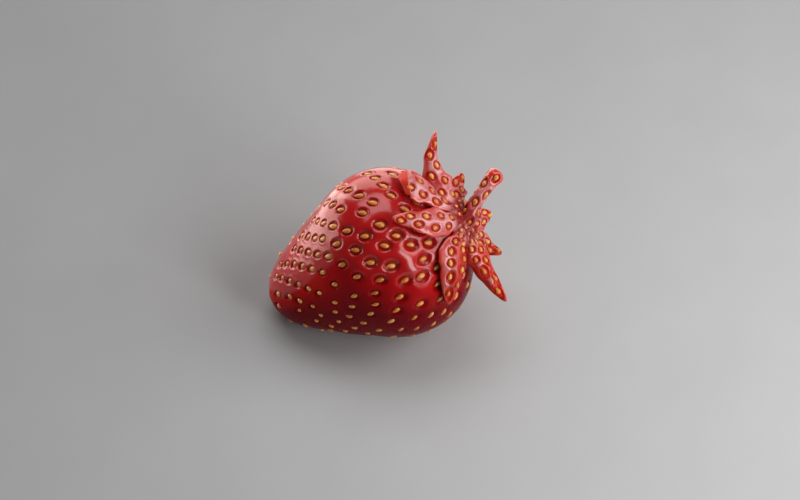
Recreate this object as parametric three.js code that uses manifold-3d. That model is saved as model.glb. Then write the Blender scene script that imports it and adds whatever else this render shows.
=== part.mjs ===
// A strawberry lying on its side, tip towards -X, leafy end raised towards +X.
// Millimetres, +Z up. The origin is the middle of the small flat spot that the berry rests on.
//
// The berry frame has its origin at the berry's centre and its +X axis along the fruit's axis, from
// the tip to the calyx. A direction in it has two angles: "polar" runs from the tip (0) to the
// calyx (180 degrees), and "around" turns about the axis, from up (0) towards +Y (90 degrees).

import * as THREE from 'three';
import { ConvexHull } from 'three/addons/math/ConvexHull.js';
import { mergeVertices } from 'three/addons/utils/BufferGeometryUtils.js';
import Module from 'manifold-3d';

const wasm = await Module();
wasm.setup();

const DEG = Math.PI / 180;

// How the berry lies
const AXIS_TILT = 30.7 * DEG;
const CENTRE_HEIGHT = 13.8;

// Flesh: distance from the centre to the skin, every 22.5 degrees from the tip to the calyx
const PROFILE_RADII = [20.8, 17.5, 14.2, 13.4, 14.5, 15.9, 16.5, 16.5, 17.3];
// Departures from a round section: an oval, a flatter back, a fuller far side and three soft lobes
const OVAL = 0.6;
const OVAL_TOWARDS_TIP = -0.6;
const BACK = -0.8;
const BACK_TOWARDS_TIP = 0.35;
const FAR_SIDE = 0.55;
const FAR_SIDE_TOWARDS_TIP = -0.35;
const LOBES = 0.25;

// Seeds on the flesh, one to a pit. Rows of them run over the side at -Y and the top, each through a first,
// a middle and a last place, which are [polar, around] in degrees.
const SEED_ROWS = [
  { seeds: 4, from: [115, 30], by: [124, 17], to: [131, 3] },
  { seeds: 5, from: [94, 28], by: [105, 13], to: [120, -3] },
  { seeds: 3, from: [86, 15], by: [93, 7], to: [99, -1] },
  { seeds: 4, from: [113, -9], by: [126, -26], to: [137, -43] },
  { seeds: 6, from: [70, 11], by: [87, -6], to: [111, -25] },
  { seeds: 2, from: [121, -36], by: [121, -44], to: [120, -52] },
  { seeds: 4, from: [53, 9], by: [66, -4], to: [79, -13] },
  { seeds: 4, from: [90, -22], by: [106, -37], to: [109, -58] },
  { seeds: 5, from: [43, 3], by: [59, -14], to: [79, -27] },
  { seeds: 4, from: [88, -37], by: [98, -57], to: [106, -87] },
  { seeds: 6, from: [27, 2], by: [44, -18], to: [66, -36] },
  { seeds: 3, from: [72, -49], by: [84, -63], to: [96, -75] },
  { seeds: 6, from: [22, -9], by: [35, -32], to: [53, -52] },
  { seeds: 4, from: [62, -65], by: [82, -77], to: [97, -95] },
  { seeds: 3, from: [19, -35], by: [27, -45], to: [41, -64] },
  { seeds: 4, from: [57, -75], by: [71, -87], to: [82, -104] },
  { seeds: 2, from: [15, -56], by: [24, -55], to: [33, -54] },
  { seeds: 5, from: [29, -67], by: [54, -88], to: [68, -112] },
  { seeds: 3, from: [36, -86], by: [44, -96], to: [51, -107] },
  { seeds: 2, from: [123, -68], by: [122, -81], to: [121, -94] },
  { seeds: 2, from: [114, -78], by: [113, -90], to: [111, -102] },
  { seeds: 2, from: [119, -111], by: [122, -116], to: [124, -121] },
  { seeds: 4, from: [97, -108], by: [109, -119], to: [122, -133] },
];
// The rest are on a golden-angle spiral of even spacing, where they have room beside the rows
const SEED_ROW_ROOM = 2.7;
const SEED_COUNT = 271;
const SEED_SPIRAL_START = -10 * DEG;
const GOLDEN_ANGLE = Math.PI * (3 - Math.sqrt(5));
const SEED_LAST_POLAR = 153 * DEG;
const SEED_HALF_LENGTH = 0.85;
const SEED_HALF_WIDTH = 0.55;
const SEED_TOP = 0.15;
const PIT_HALF_LENGTH = 1.35;
const PIT_HALF_WIDTH = 1.05;
const PIT_DEPTH = 0.45;
// A seed nearer than this to its neighbour is smaller by as much, and so is its pit
const PIT_ROOM = 2.9;
const SEED_SIDES = 6;
const PIT_SIDES = 8;
const AREA_BELTS = 720;
// The seedless skin under the calyx: rings of plain points about the pole
const BARE_RINGS = [{ polar: 160, sides: 16 }, { polar: 170, sides: 9 }, { polar: 180, sides: 1 }];

// Calyx leaves. A leaf's line runs through points given as [along, out, around]: millimetres along
// the axis from the calyx pole, millimetres out from the axis, and degrees around it. Its roll turns
// its face about that line, in degrees.
const LEAVES = [
  {
    line: [[0.7, 3, 39], [0.1, 5.9, 33], [-0.3, 8.9, 37], [0.1, 12.2, 43], [1.9, 15.4, 49]],
    width: 4.9,
    widestAt: 0.5,
    roll: -50,
    seeds: 8,
  },
  {
    line: [[0.7, 3, 3], [-0.8, 6.6, 6], [-1.7, 9.4, 9], [-2.9, 11.8, 11], [-5.4, 12.8, 12]],
    width: 5.4,
    widestAt: 0.75,
    roll: -16,
    seeds: 7,
  },
  {
    line: [[0.7, 3, -34], [-0.7, 6.1, -31], [-3, 10.5, -26], [-6.3, 13.8, -20]],
    width: 5,
    widestAt: 0.42,
    roll: -8,
    seeds: 8,
  },
  {
    line: [[0.7, 3, -84], [-0.4, 5.8, -78], [-1.8, 9.1, -91], [-5.9, 13.2, -108]],
    width: 6.4,
    widestAt: 0.6,
    roll: 20,
    seeds: 9,
  },
  {
    line: [[0.8, 3, -128], [0.6, 4.8, -126], [0.6, 8.3, -135], [1.6, 15.3, -136]],
    width: 4.2,
    widestAt: 0.5,
    roll: 42,
    seeds: 8,
  },
  {
    line: [[0.7, 3, -172], [0.9, 4.6, -170], [1.2, 6.8, -168], [2.7, 9.4, -165]],
    width: 3,
    widestAt: 0.5,
    roll: 40,
    seeds: 5,
  },
  {
    line: [[0.7, 3, 150], [1.3, 4.8, 147], [2, 6.3, 144], [2.9, 7.8, 142]],
    width: 3,
    widestAt: 0.5,
    roll: 10,
    seeds: 5,
  },
  {
    line: [[0.7, 3, 76], [0.9, 4.5, 68], [1.1, 6.4, 70], [2.1, 8.7, 78]],
    width: 3.4,
    widestAt: 0.5,
    roll: -40,
    seeds: 5,
  },
  {
    line: [[0.7, 3, 113], [-0.1, 6, 113], [-1.7, 9.4, 112], [-3.8, 12.6, 110]],
    width: 4.4,
    widestAt: 0.5,
    roll: 0,
    seeds: 7,
  },
];
const LEAF_STATIONS = 10;
const LEAF_ROOT_WIDTH = 1.3;
const LEAF_TIP_WIDTH = 0.7;
const LEAF_TAPER = 0.75;
const LEAF_ROOT_THICKNESS = 1.0;
const LEAF_TIP_THICKNESS = 0.7;
const LEAF_FOLD = 14 * DEG;
const LEAF_ROLL_BY = 0.4;
const LEAF_EDGE_WAVE = 0.07;
const LEAF_EDGE_WAVES = 2.5;
// A leaf's section, from edge to edge of its half width, over its upper and then its lower side
const LEAF_UPPER_SIDE = [-0.9, -0.5, 0, 0.5, 0.9];
const LEAF_LOWER_SIDE = [1, 0.5, 0, -0.5, -1];
// The seeds of a leaf stand in two rows, from the first share of its length to the last
const LEAF_FIRST_SEED = 0.16;
const LEAF_LAST_SEED = 0.9;
const LEAF_SEED_ROW = 0.42;

// Pits and seeds of the leaves and the stem, smaller than those of the flesh
const SMALL_PIT = { halfLength: 1.15, halfWidth: 0.8, halfHeight: 0.6, lift: 0.24 };
const SMALL_SEED = { halfLength: 0.75, halfWidth: 0.49, halfHeight: 0.375, lift: -0.15 };

// Stem: points as for the leaves, with the radius at each
const STEM_LINE = [[0.35, 0, 55], [1.3, 0.1, 55], [3.5, 2, 56], [6, 3.7, 60], [8.4, 5.2, 65]];
const STEM_RADII = [2.1, 1.6, 1.2, 1.2, 1.5];
const STEM_STATIONS = 12;
const STEM_SIDES = 10;
// The rounded end: rings past the last station, as shares of the radius there
const STEM_END_RINGS = [{ radius: 0.8, push: 0.45 }, { radius: 0.35, push: 0.75 }];
const STEM_SEEDS = 7;
const STEM_FIRST_SEED = 0.35;
const STEM_LAST_SEED = 0.95;
const STEM_SEED_SEAT = 0.97;

// The block below the floor that levels the flat spot
const FLOOR_WIDTH = 80;
const FLOOR_DEPTH = 10;

const MERGE_DISTANCE = 1e-5;

const MATERIALS = {
  flesh: new THREE.MeshStandardMaterial({ color: 0xa80f14, roughness: 0.22, metalness: 0 }),
  calyx: new THREE.MeshStandardMaterial({ color: 0xc23a30, roughness: 0.32, metalness: 0 }),
};

// Directions and the skin of the flesh

function direction(polar, around) {
  const belt = Math.sin(polar);
  return new THREE.Vector3(-Math.cos(polar), belt * Math.sin(around), belt * Math.cos(around));
}

function anglesOf(unit) {
  return [Math.acos(THREE.MathUtils.clamp(-unit.x, -1, 1)), Math.atan2(unit.y, unit.z)];
}

// The cosine waves that pass through evenly spaced samples, from 0 to 180 degrees
function cosineWaves(samples) {
  const last = samples.length - 1;
  const share = (index) => (index === 0 || index === last ? 0.5 : 1);
  return samples.map((_, wave) => {
    const sum = samples.reduce(
      (total, value, i) => total + share(i) * value * Math.cos((Math.PI * i * wave) / last), 0);
    return (2 / last) * share(wave) * sum;
  });
}

const PROFILE_WAVES = cosineWaves(PROFILE_RADII);

function profileRadius(polar) {
  return PROFILE_WAVES.reduce((total, size, wave) => total + size * Math.cos(wave * polar), 0);
}

function bodyRadius(unit) {
  const [polar, around] = anglesOf(unit);
  const belt = Math.sin(polar);
  const tipward = Math.cos(polar);
  const oval = (OVAL + OVAL_TOWARDS_TIP * tipward) * belt ** 2 * Math.cos(2 * around);
  const back = (BACK + BACK_TOWARDS_TIP * tipward) * belt * Math.cos(around);
  const farSide = (FAR_SIDE + FAR_SIDE_TOWARDS_TIP * tipward) * belt * Math.sin(around);
  const lobes = LOBES * belt ** 3 * Math.cos(3 * around);
  return profileRadius(polar) + oval + back + farSide + lobes;
}

// Seeds of the flesh

// Polar angles that share the skin's area evenly among the seeds
function evenPolarAngles(count) {
  const step = Math.PI / AREA_BELTS;
  const areaTo = [0];
  for (let i = 0; i < AREA_BELTS; i += 1) {
    const polar = (i + 0.5) * step;
    const radius = profileRadius(polar);
    const slope = (profileRadius(polar + step / 2) - profileRadius(polar - step / 2)) / step;
    areaTo.push(areaTo[i] + radius * Math.sin(polar) * Math.hypot(radius, slope));
  }
  const angles = [];
  let belt = 0;
  for (let i = 0; i < count; i += 1) {
    const wanted = (areaTo[AREA_BELTS] * (i + 0.5)) / count;
    while (areaTo[belt + 1] < wanted) belt += 1;
    const inside = (wanted - areaTo[belt]) / (areaTo[belt + 1] - areaTo[belt]);
    angles.push((belt + inside) * step);
  }
  return angles;
}

// Directions along a row, on the parabola through its three places
function rowPlaces({ seeds, from, by, to }) {
  return Array.from({ length: seeds }, (_, i) => {
    const share = i / (seeds - 1);
    const early = (1 - share) * (1 - 2 * share);
    const mid = 4 * share * (1 - share);
    const late = share * (2 * share - 1);
    const [polar, around] = [0, 1].map((k) => (early * from[k] + mid * by[k] + late * to[k]) * DEG);
    return direction(polar, around);
  });
}

function spiralPlaces() {
  return evenPolarAngles(SEED_COUNT)
    .map((polar, i) => ({ polar, around: SEED_SPIRAL_START - i * GOLDEN_ANGLE }))
    .filter((seed) => seed.polar < SEED_LAST_POLAR)
    .map((seed) => direction(seed.polar, seed.around));
}

function nearestDistance(unit, others) {
  const point = unit.clone().multiplyScalar(bodyRadius(unit));
  return Math.min(...others.map((other) =>
    point.distanceTo(other.clone().multiplyScalar(bodyRadius(other)))));
}

// Each seed's direction, and its size as a share of the full size
function seedPlaces() {
  const rows = SEED_ROWS.flatMap(rowPlaces);
  const rest = spiralPlaces().filter((unit) => nearestDistance(unit, rows) > SEED_ROW_ROOM);
  const units = [...rows, ...rest];
  return units.map((unit) => {
    const nearest = nearestDistance(unit, units.filter((other) => other !== unit));
    return { unit, size: Math.min(1, nearest / PIT_ROOM) };
  });
}

// A ring of directions about a seed, an oval whose long side runs along the meridian
function ringAbout(seed, halfLength, halfWidth, sides) {
  const radius = bodyRadius(seed);
  const across = new THREE.Vector3(1, 0, 0).cross(seed).normalize();
  const meridian = across.clone().cross(seed);
  const ring = [];
  for (let i = 0; i < sides; i += 1) {
    const turn = (2 * Math.PI * i) / sides;
    ring.push(seed.clone()
      .addScaledVector(meridian, (halfLength * Math.cos(turn)) / radius)
      .addScaledVector(across, (halfWidth * Math.sin(turn)) / radius)
      .normalize());
  }
  return ring;
}

// The skin as directions with a height above the smooth body: a seed stands in the middle of its pit
function skinPoints() {
  const points = [];
  const add = (unit, height) => points.push({ unit, height });
  for (const { unit: seed, size } of seedPlaces()) {
    const floor = ringAbout(seed, SEED_HALF_LENGTH * size, SEED_HALF_WIDTH * size, SEED_SIDES);
    const edge = ringAbout(seed, PIT_HALF_LENGTH * size, PIT_HALF_WIDTH * size, PIT_SIDES);
    add(seed, SEED_TOP);
    floor.forEach((unit) => add(unit, -PIT_DEPTH * size));
    edge.forEach((unit) => add(unit, 0));
  }
  for (const ring of BARE_RINGS) {
    for (let i = 0; i < ring.sides; i += 1) {
      add(direction(ring.polar * DEG, (2 * Math.PI * i) / ring.sides), 0);
    }
  }
  return points;
}

function fleshGeometry() {
  const points = skinPoints();
  const indexOf = new Map(points.map((point, i) => [point.unit, i]));
  const hull = new ConvexHull().setFromPoints(points.map((point) => point.unit));
  const index = [];
  for (const face of hull.faces) {
    let edge = face.edge;
    do {
      index.push(indexOf.get(edge.head().point));
      edge = edge.next;
    } while (edge !== face.edge);
  }
  const positions = points.flatMap(({ unit, height }) =>
    unit.clone().multiplyScalar(bodyRadius(unit) + height).toArray());
  return indexedGeometry(positions, index);
}

// Solids

function indexedGeometry(positions, index) {
  const geometry = new THREE.BufferGeometry();
  geometry.setAttribute('position', new THREE.Float32BufferAttribute(positions, 3));
  geometry.setIndex(index);
  return geometry;
}

function solidOf(geometry) {
  const bare = geometry.clone();
  bare.deleteAttribute('normal');
  bare.deleteAttribute('uv');
  const merged = mergeVertices(bare, MERGE_DISTANCE);
  const mesh = new wasm.Mesh({
    numProp: 3,
    vertProperties: new Float32Array(merged.attributes.position.array),
    triVerts: new Uint32Array(merged.index.array),
  });
  return new wasm.Manifold(mesh);
}

function geometryOf(solid) {
  const mesh = solid.getMesh();
  return indexedGeometry(Array.from(mesh.vertProperties), Array.from(mesh.triVerts));
}

// A closed solid through rings of points, with a fan at each end
function loft(rings) {
  const sides = rings[0].length;
  const points = rings.flat();
  const index = [];
  for (let ring = 0; ring < rings.length - 1; ring += 1) {
    for (let i = 0; i < sides; i += 1) {
      const a = ring * sides + i;
      const b = ring * sides + ((i + 1) % sides);
      index.push(a, b, b + sides, a, b + sides, a + sides);
    }
  }
  const addCap = (start, flip) => {
    const centre = new THREE.Vector3();
    for (let i = 0; i < sides; i += 1) centre.addScaledVector(points[start + i], 1 / sides);
    points.push(centre);
    for (let i = 0; i < sides; i += 1) {
      const a = start + i;
      const b = start + ((i + 1) % sides);
      index.push(...(flip ? [b, a, points.length - 1] : [a, b, points.length - 1]));
    }
  };
  addCap(0, true);
  addCap((rings.length - 1) * sides, false);
  return indexedGeometry(points.flatMap((point) => point.toArray()), index);
}

// Calyx

const POLE = direction(Math.PI, 0).multiplyScalar(profileRadius(Math.PI));

function calyxPoint([along, out, around]) {
  const turn = around * DEG;
  return new THREE.Vector3(POLE.x + along, out * Math.sin(turn), out * Math.cos(turn));
}

function calyxCurve(line) {
  return new THREE.CatmullRomCurve3(line.map(calyxPoint), false, 'centripetal');
}

// Position, forward, sideways and face directions on a leaf's line
function leafFrame(curve, share, roll) {
  const centre = curve.getPoint(share);
  const forward = curve.getTangent(share);
  const sideways = new THREE.Vector3(0, centre.z, -centre.y);
  sideways.addScaledVector(forward, -sideways.dot(forward)).normalize();
  const face = sideways.clone().cross(forward);
  const turn = roll * DEG * Math.min(1, share / LEAF_ROLL_BY);
  return {
    centre,
    forward,
    sideways: sideways.clone().multiplyScalar(Math.cos(turn)).addScaledVector(face, -Math.sin(turn)),
    face: face.clone().multiplyScalar(Math.cos(turn)).addScaledVector(sideways, Math.sin(turn)),
  };
}

function leafHalfWidth(leaf, share, side) {
  const half = leaf.width / 2;
  const wave = 1 + LEAF_EDGE_WAVE * Math.sin(2 * Math.PI * LEAF_EDGE_WAVES * share + side);
  if (share < leaf.widestAt) {
    const grown = (1 - Math.cos((Math.PI * share) / leaf.widestAt)) / 2;
    return THREE.MathUtils.lerp(LEAF_ROOT_WIDTH / 2, half, grown) * wave;
  }
  const left = (1 - share) / (1 - leaf.widestAt);
  return THREE.MathUtils.lerp(LEAF_TIP_WIDTH / 2, half, left ** LEAF_TAPER) * wave;
}

// A point on the leaf: across runs from -1 to 1 over the width, height is measured from its middle
function leafPoint(leaf, curve, share, across, height) {
  const frame = leafFrame(curve, share, leaf.roll);
  const offset = across * leafHalfWidth(leaf, share, Math.sign(across));
  return frame.centre.clone()
    .addScaledVector(frame.sideways, offset)
    .addScaledVector(frame.face, height - Math.abs(offset) * Math.tan(LEAF_FOLD));
}

function leafThickness(share) {
  return THREE.MathUtils.lerp(LEAF_ROOT_THICKNESS, LEAF_TIP_THICKNESS, share);
}

function leafGeometry(leaf) {
  const curve = calyxCurve(leaf.line);
  const rings = [];
  for (let station = 0; station <= LEAF_STATIONS; station += 1) {
    const share = station / LEAF_STATIONS;
    const half = leafThickness(share) / 2;
    const upper = LEAF_UPPER_SIDE.map((across) => leafPoint(leaf, curve, share, across, half));
    const lower = LEAF_LOWER_SIDE.map((across) => leafPoint(leaf, curve, share, across, -half));
    rings.push([...upper, ...lower]);
  }
  let solid = solidOf(loft(rings));
  for (let seed = 0; seed < leaf.seeds; seed += 1) {
    const share = THREE.MathUtils.lerp(LEAF_FIRST_SEED, LEAF_LAST_SEED, seed / (leaf.seeds - 1));
    const across = seed % 2 === 0 ? LEAF_SEED_ROW : -LEAF_SEED_ROW;
    const top = leafPoint(leaf, curve, share, across, leafThickness(share) / 2);
    const frame = leafFrame(curve, share, leaf.roll);
    solid = withSeed(solid, top, frame);
  }
  return geometryOf(solid);
}

// Cuts a shallow pit into a solid and stands a seed in it
function withSeed(solid, top, frame) {
  const basis = new THREE.Matrix4().makeBasis(frame.sideways, frame.forward, frame.face);
  const placed = ({ halfLength, halfWidth, halfHeight, lift }) => {
    const shape = new THREE.OctahedronGeometry(1, 0);
    shape.scale(halfWidth, halfLength, halfHeight);
    shape.translate(0, 0, lift);
    shape.applyMatrix4(basis);
    shape.translate(top.x, top.y, top.z);
    return solidOf(shape);
  };
  return solid.subtract(placed(SMALL_PIT)).add(placed(SMALL_SEED));
}

function stemGeometry() {
  const curve = calyxCurve(STEM_LINE);
  const rings = [];
  const sideways = direction(Math.PI / 2, (STEM_LINE[0][2] + 90) * DEG);
  const radiusAt = (share) => {
    const place = share * (STEM_RADII.length - 1);
    const below = Math.min(Math.floor(place), STEM_RADII.length - 2);
    return THREE.MathUtils.lerp(STEM_RADII[below], STEM_RADII[below + 1], place - below);
  };
  const ringAt = (share, size, push) => {
    const forward = curve.getTangent(share);
    const centre = curve.getPoint(share).addScaledVector(forward, push);
    const upward = sideways.clone().cross(forward);
    const ring = [];
    for (let i = 0; i < STEM_SIDES; i += 1) {
      const turn = (2 * Math.PI * i) / STEM_SIDES;
      ring.push(centre.clone()
        .addScaledVector(sideways, size * Math.cos(turn))
        .addScaledVector(upward, -size * Math.sin(turn)));
    }
    return ring;
  };
  for (let station = 0; station <= STEM_STATIONS; station += 1) {
    const share = station / STEM_STATIONS;
    rings.push(ringAt(share, radiusAt(share), 0));
  }
  const endRadius = radiusAt(1);
  STEM_END_RINGS.forEach(({ radius, push }) => rings.push(ringAt(1, endRadius * radius, endRadius * push)));
  let solid = solidOf(loft(rings));
  for (let seed = 0; seed < STEM_SEEDS; seed += 1) {
    const share = THREE.MathUtils.lerp(STEM_FIRST_SEED, STEM_LAST_SEED, seed / (STEM_SEEDS - 1));
    const turn = seed * GOLDEN_ANGLE;
    const forward = curve.getTangent(share);
    const face = sideways.clone().applyAxisAngle(forward, turn);
    const top = curve.getPoint(share).addScaledVector(face, radiusAt(share) * STEM_SEED_SEAT);
    solid = withSeed(solid, top, { forward, sideways: forward.clone().cross(face), face });
  }
  return geometryOf(solid);
}

// Assembly

function placeBerry(object) {
  object.rotation.y = -AXIS_TILT;
  object.position.z = CENTRE_HEIGHT;
  object.updateMatrixWorld();
}

function namedMesh(name, geometry, material) {
  const mesh = new THREE.Mesh(geometry, material);
  mesh.name = name;
  return mesh;
}

// The flesh is turned into place before the surface it lies on is cut away, so its flat spot is level
function fruitMesh(berryMatrix) {
  const turned = fleshGeometry().applyMatrix4(berryMatrix);
  const floor = new THREE.BoxGeometry(FLOOR_WIDTH, FLOOR_WIDTH, FLOOR_DEPTH);
  floor.translate(0, 0, -FLOOR_DEPTH / 2);
  return namedMesh('fruit', geometryOf(solidOf(turned).subtract(solidOf(floor))), MATERIALS.flesh);
}

const calyx = new THREE.Group();
placeBerry(calyx);
calyx.add(namedMesh('stem', stemGeometry(), MATERIALS.calyx));
LEAVES.forEach((leaf, i) => {
  calyx.add(namedMesh(`sepal_${i + 1}`, leafGeometry(leaf), MATERIALS.calyx));
});

const group = new THREE.Group();
group.add(fruitMesh(calyx.matrixWorld));
group.add(calyx);

export default group;
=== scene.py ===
import math
from dataclasses import dataclass

import bpy
import numpy as np
from mathutils import Matrix, Vector
from mathutils.geometry import delaunay_2d_cdt


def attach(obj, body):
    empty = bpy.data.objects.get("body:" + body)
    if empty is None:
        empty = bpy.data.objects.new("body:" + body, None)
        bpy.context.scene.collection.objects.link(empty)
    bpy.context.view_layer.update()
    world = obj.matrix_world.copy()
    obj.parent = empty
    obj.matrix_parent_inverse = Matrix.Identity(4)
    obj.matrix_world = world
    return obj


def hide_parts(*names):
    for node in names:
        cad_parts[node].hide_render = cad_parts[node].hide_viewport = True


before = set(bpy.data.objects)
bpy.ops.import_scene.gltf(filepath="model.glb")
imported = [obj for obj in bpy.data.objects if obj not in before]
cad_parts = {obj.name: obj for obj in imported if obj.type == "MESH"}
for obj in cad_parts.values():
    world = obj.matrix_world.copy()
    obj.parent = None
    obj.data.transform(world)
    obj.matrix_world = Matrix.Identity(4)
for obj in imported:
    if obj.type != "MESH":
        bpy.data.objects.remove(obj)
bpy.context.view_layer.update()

# A strawberry lying on its side. Sizes are in millimetres, and angles in radians, until a mesh is
# made. The berry frame has its origin at the berry's centre and its +X axis from the tip to the
# calyx. "polar" runs from the tip (0) to the calyx (pi), and "around" turns about the axis, from
# up (0) towards +Y. In the row frame, which the berry lies in, +Z is up and +Y is the rear. A name
# that ends in RANGE holds the two values between which smoothstep goes from 0 to 1.

MM = 0.001
DEG = math.pi / 180
DRAW = np.random.default_rng(7)

# How the berry lies, and its flesh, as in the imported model
AXIS_TILT = 30.7 * DEG
CENTRE_HEIGHT = 13.8
PROFILE_RADII = [20.8, 17.5, 14.2, 13.4, 14.5, 15.9, 16.5, 16.5, 17.3]
OVAL, OVAL_TOWARDS_TIP = 0.6, -0.6
BACK, BACK_TOWARDS_TIP = -0.8, 0.35
FAR_SIDE, FAR_SIDE_TOWARDS_TIP = 0.55, -0.35
LOBES = 0.25

# Seeds of the flesh, one to a pit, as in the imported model. Rows of them: how many, then the first,
# a middle and the last place of each row, as (polar, around) in degrees
SEED_ROWS = [
    (4, (115, 30), (124, 17), (131, 3)),
    (5, (94, 28), (105, 13), (120, -3)),
    (3, (86, 15), (93, 7), (99, -1)),
    (4, (113, -9), (126, -26), (137, -43)),
    (6, (70, 11), (87, -6), (111, -25)),
    (2, (121, -36), (121, -44), (120, -52)),
    (4, (53, 9), (66, -4), (79, -13)),
    (4, (90, -22), (106, -37), (109, -58)),
    (5, (43, 3), (59, -14), (79, -27)),
    (4, (88, -37), (98, -57), (106, -87)),
    (6, (27, 2), (44, -18), (66, -36)),
    (3, (72, -49), (84, -63), (96, -75)),
    (6, (22, -9), (35, -32), (53, -52)),
    (4, (62, -65), (82, -77), (97, -95)),
    (3, (19, -35), (27, -45), (41, -64)),
    (4, (57, -75), (71, -87), (82, -104)),
    (2, (15, -56), (24, -55), (33, -54)),
    (5, (29, -67), (54, -88), (68, -112)),
    (3, (36, -86), (44, -96), (51, -107)),
    (2, (123, -68), (122, -81), (121, -94)),
    (2, (114, -78), (113, -90), (111, -102)),
    (2, (119, -111), (122, -116), (124, -121)),
    (4, (97, -108), (109, -119), (122, -133)),
]
# The other seeds lie on a spiral that keeps this clear of the rows. It shares the surface out
# evenly, which is summed over this many belts
SEED_ROW_ROOM, AREA_BELTS = 2.7, 720
SEED_COUNT, SEED_SPIRAL_START, SEED_LAST_POLAR = 271, -10 * DEG, 153 * DEG
GOLDEN_ANGLE = math.pi * (3 - math.sqrt(5))
SEED_HALF_LENGTH, SEED_HALF_WIDTH, SEED_HALF_HEIGHT = 0.78, 0.43, 0.37
SEED_TOP, SEED_TURN = 0.14, -18 * DEG
PIT_HALF_LENGTH, PIT_HALF_WIDTH, PIT_DEPTH = 1.14, 0.88, 0.42
# Seeds closer to each other than this are smaller, and so are their pits
PIT_ROOM = 2.9
# Where the skin faces down, pits are this share as deep and their painted shade this share as dark,
# and seeds stand this much further out and are this share as large
UNDER_PIT_SHARE, UNDER_PIT_SHADE = 0.08, 0.25
UNDER_SEED_RISE, UNDER_SEED_SIZE = 0.1, 0.88
# Seeds are larger by these shares where the skin's normal points to the tip's side and where it
# points up, and where it points up they also stand this much further out
TIPWARD_SEED_GROWTH, TIPWARD_SEED_RANGE = 0.24, (0.55, 0.75)
TOP_SEED_GROWTH, TOP_SEED_RANGE = 0.16, (0.75, 0.95)
TOP_SEED_RISE, TOP_SEED_RISE_RANGE = 0.1, (0.5, 0.8)
# No seed of the flesh has its centre lower than this, where the berry rests
LOWEST_SEED = 0.25

# Skin of the flesh. Its normal's upward share decides where it faces up, and so where it is painted
# with shade below and in its pits, and where it has a gloss, with something added where the normal
# points to the tip's side or the rear
UP_RANGE = (-0.2, 0.6)
UP_TIPWARD, UP_TIPWARD_RANGE = 0.25, (0.5, 0.8)
GLAZE_RANGE = (0.42, 0.54)
GLAZE_TIPWARD, GLAZE_TIPWARD_RANGE = 0.22, (0.64, 0.77)
GLAZE_REARWARD, GLAZE_REARWARD_RANGE = 0.4, (-0.3, 0.1)
# A pit's wall and its rim, as shares of the pit's size. Facing up, the rim is twice this high
PIT_WALL_RANGE, PIT_RIM_AT, PIT_RIM_WIDTH = (0.5, 1.08), 1.2, 0.2
PIT_RIM_HEIGHT = 0.03
# The skin swells between pits. Towards the calyx, by its polar angle, it swells more and the pits
# are wider, and most of all in front, by the share of its normal that points there
SWELL, CALYX_END_SWELL, FRONT_SWELL = 0.1, 0.18, 0.27
SWELL_REACH, SWELL_LEVEL = 1.3, 0.7
CALYX_END_RANGE, FRONT_RANGE = (80 * DEG, 115 * DEG), (0.3, 0.55)
CALYX_END_WIDENING, FRONT_WIDENING = 0.1, 0.3

# Mesh of the flesh. Rings of vertices about a seed: shares of the pit's size, and how many vertices
# each has. An even spread of them fills what is between
PIT_RINGS = [(0.0, 1), (0.4, 8), (0.66, 14), (0.8, 18), (0.9, 20),
             (1.0, 22), (1.1, 22), (1.25, 22), (1.5, 22)]
FILL_SPACING = 0.42
RING_CLEARANCE = 0.2
POLE_RING_POLAR, POLE_RING_SIDES, POLE_RING_CLEARANCE = 176 * DEG, 12, 1.5 * DEG
# A direction whose cosine to a seed is lower than this counts as far away from it
SEED_REACH_COSINE, FAR_AWAY = 0.5, 99.0

# Mesh of a seed: how sharp a teardrop's ends are, how much thicker its blunt one is, how much seeds
# differ in size and in turn, and the lowest that any part of them lies
SEED_ROUNDS, SEED_SIDES = 12, 14
SEED_SHARPNESS, SEED_BLUNTNESS = 1.15, 0.22
SEED_SIZE_SPREAD, SEED_TURN_SPREAD, SEED_FLOOR = 0.05, 0.14, 0.01


@dataclass
class Leaf:
    """A leaf of the calyx. Shares are of its length."""

    line: list  # [along, out, around in degrees] points of its middle line
    width: float
    widest: float  # the share at which it has that width
    roll: float  # how far it is turned about its line, in degrees
    seeds: int
    last_seed: float = 0.9  # the share at which its last seed lies
    rolled: int = 0  # the side whose margin bends down: 1, -1, or 0 for neither
    # How red its face is painted, as painted shade
    shade_red: float = 0  # how red its face is
    taper: float = 0.75  # how it narrows to its tip: the lower, the fuller
    tip_width: float = 0.5
    square: float = 0.15  # how square its tip is
    lean: float = 0  # how far its tip slants
    # Its end is painted red: a painted glow of light through the thin end, and painted shade where
    # the end bends down
    red_from: float = 0.72  # the shares between which its end turns red
    red_by: float = 1.0
    bent_end: int = 0  # 1 where that end bends down, so that it has no gloss
    # The side that is painted red and darker, as painted shade
    shaded_side: int = 0  # the side that is red: 1, -1, or 0 for neither
    side_shade: float = 0  # how dark that side is


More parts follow.
